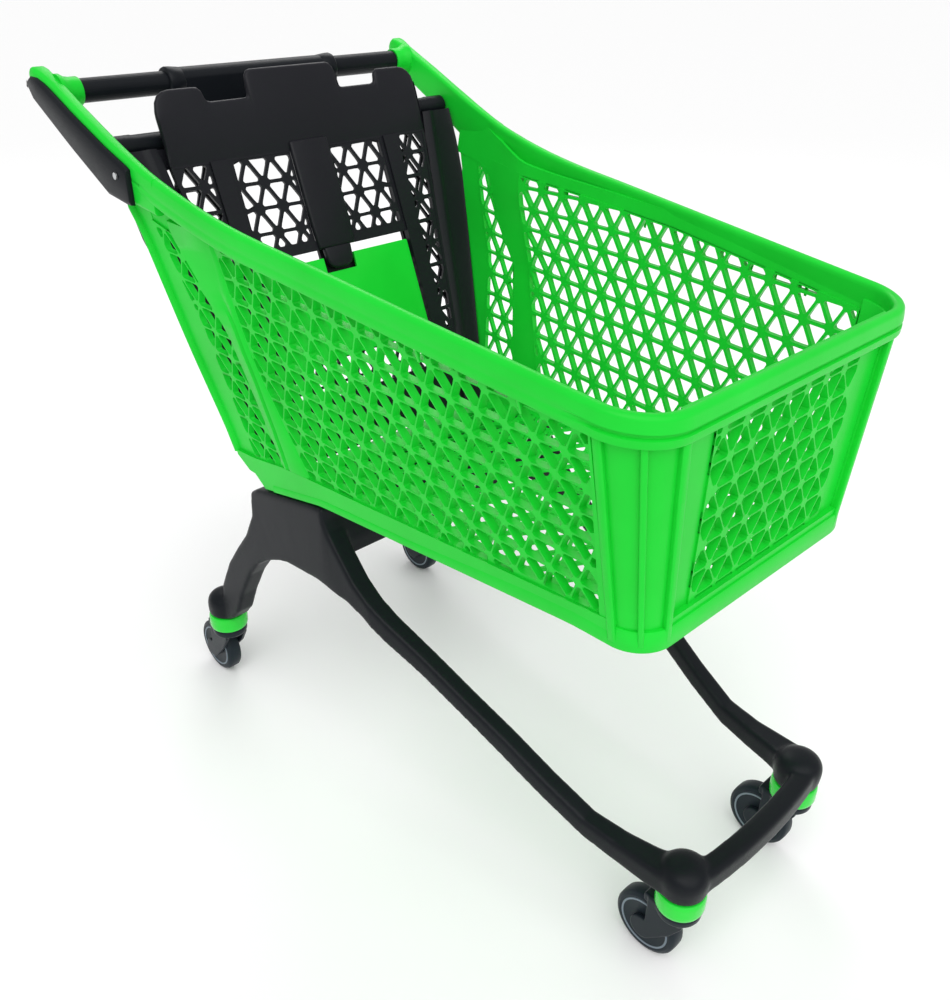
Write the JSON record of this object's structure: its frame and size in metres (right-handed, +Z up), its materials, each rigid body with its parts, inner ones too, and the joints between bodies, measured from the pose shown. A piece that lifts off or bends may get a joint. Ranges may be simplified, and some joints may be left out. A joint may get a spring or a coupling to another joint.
{
  "type": "shopping cart",
  "caption": "Plastic supermarket cart with a lattice basket, hinged rear gate with fold-out child seat, tubular handle and swivel casters under long low arms.",
  "frame": {"origin": "on the floor under the middle of the cart's bounding box", "axes": "+X the way the cart is pushed, +Y its left side, +Z up"},
  "size_m": [1.108, 0.6566, 0.9974],
  "materials": {
    "green_plastic": "moulded plastic, half gloss",
    "dark_plastic": "moulded plastic, satin",
    "tyre_grey": "smooth wheel tread",
    "hub_grey": "moulded wheel centre",
    "steel": "zinc-plated rods, pins and screws"
  },
  "bodies": {
    "cart": {"basket": "green_plastic", "handle_bar": "dark_plastic", "handle_cover": "dark_plastic", "grip_cover_left": "dark_plastic", "grip_cover_right": "dark_plastic", "grip_screw_left": "steel", "grip_screw_right": "steel", "gate_hinge_rod": "steel", "chassis_side_left": "dark_plastic", "chassis_side_right": "dark_plastic", "chassis_rear_beam": "dark_plastic", "chassis_front_bar": "dark_plastic"},
    "rear_gate": {"rear_gate": "dark_plastic", "seat_pivot_pin_left": "steel", "seat_pivot_pin_right": "steel", "flap_pin_left": "steel", "flap_pin_right": "steel"},
    "seat_back": {"child_seat_back": "dark_plastic"},
    "seat_flap": {"seat_flap": "green_plastic"},
    "swivel_front_left": {"caster_fork_front_left": "dark_plastic", "caster_stem_front_left": "steel", "wheel_axle_front_left": "steel", "caster_collar_front_left": "green_plastic"},
    "wheel_front_left": {"wheel_hub_front_left": "hub_grey", "wheel_tyre_front_left": "tyre_grey"},
    "swivel_front_right": {"caster_fork_front_right": "dark_plastic", "caster_stem_front_right": "steel", "wheel_axle_front_right": "steel", "caster_collar_front_right": "green_plastic"},
    "wheel_front_right": {"wheel_hub_front_right": "hub_grey", "wheel_tyre_front_right": "tyre_grey"},
    "swivel_rear_left": {"caster_fork_rear_left": "dark_plastic", "caster_stem_rear_left": "steel", "wheel_axle_rear_left": "steel", "caster_collar_rear_left": "green_plastic"},
    "wheel_rear_left": {"wheel_hub_rear_left": "hub_grey", "wheel_tyre_rear_left": "tyre_grey"},
    "swivel_rear_right": {"caster_fork_rear_right": "dark_plastic", "caster_stem_rear_right": "steel", "wheel_axle_rear_right": "steel", "caster_collar_rear_right": "green_plastic"},
    "wheel_rear_right": {"wheel_hub_rear_right": "hub_grey", "wheel_tyre_rear_right": "tyre_grey"}
  },
  "joints": [
    {"name": "gate_hinge", "type": "hinge", "parent": "cart", "child": "rear_gate", "pos_m": [-0.403, 0, 0.907], "axis": [0, -1, 0], "range_deg": [0, 68]},
    {"name": "seat_back_tilt", "type": "hinge", "parent": "rear_gate", "child": "seat_back", "pos_m": [-0.21958, 0, 0.50183], "axis": [0, 1, 0], "range_deg": [0, 37]},
    {"name": "seat_flap_tilt", "type": "hinge", "parent": "rear_gate", "child": "seat_flap", "pos_m": [-0.31828, 0, 0.71761], "axis": [0, -1, 0], "range_deg": [0, 62]},
    {"name": "swivel_front_left", "type": "hinge", "parent": "cart", "child": "swivel_front_left", "pos_m": [0.515, 0.132, 0.127], "axis": [0, 0, 1], "continuous": true},
    {"name": "roll_front_left", "type": "hinge", "parent": "swivel_front_left", "child": "wheel_front_left", "pos_m": [0.476, 0.132, 0.047], "axis": [0, 1, 0], "continuous": true},
    {"name": "swivel_front_right", "type": "hinge", "parent": "cart", "child": "swivel_front_right", "pos_m": [0.515, -0.132, 0.127], "axis": [0, 0, 1], "continuous": true},
    {"name": "roll_front_right", "type": "hinge", "parent": "swivel_front_right", "child": "wheel_front_right", "pos_m": [0.476, -0.132, 0.047], "axis": [0, 1, 0], "continuous": true},
    {"name": "swivel_rear_left", "type": "hinge", "parent": "cart", "child": "swivel_rear_left", "pos_m": [-0.37, 0.234, 0.127], "axis": [0, 0, 1], "continuous": true},
    {"name": "roll_rear_left", "type": "hinge", "parent": "swivel_rear_left", "child": "wheel_rear_left", "pos_m": [-0.409, 0.234, 0.047], "axis": [0, 1, 0], "continuous": true},
    {"name": "swivel_rear_right", "type": "hinge", "parent": "cart", "child": "swivel_rear_right", "pos_m": [-0.37, -0.234, 0.127], "axis": [0, 0, 1], "continuous": true},
    {"name": "roll_rear_right", "type": "hinge", "parent": "swivel_rear_right", "child": "wheel_rear_right", "pos_m": [-0.409, -0.234, 0.047], "axis": [0, 1, 0], "continuous": true}
  ],
  "couplings": [
    {"joint": "seat_flap_tilt", "follows": "seat_back_tilt", "ratio": 1.67}
  ]
}
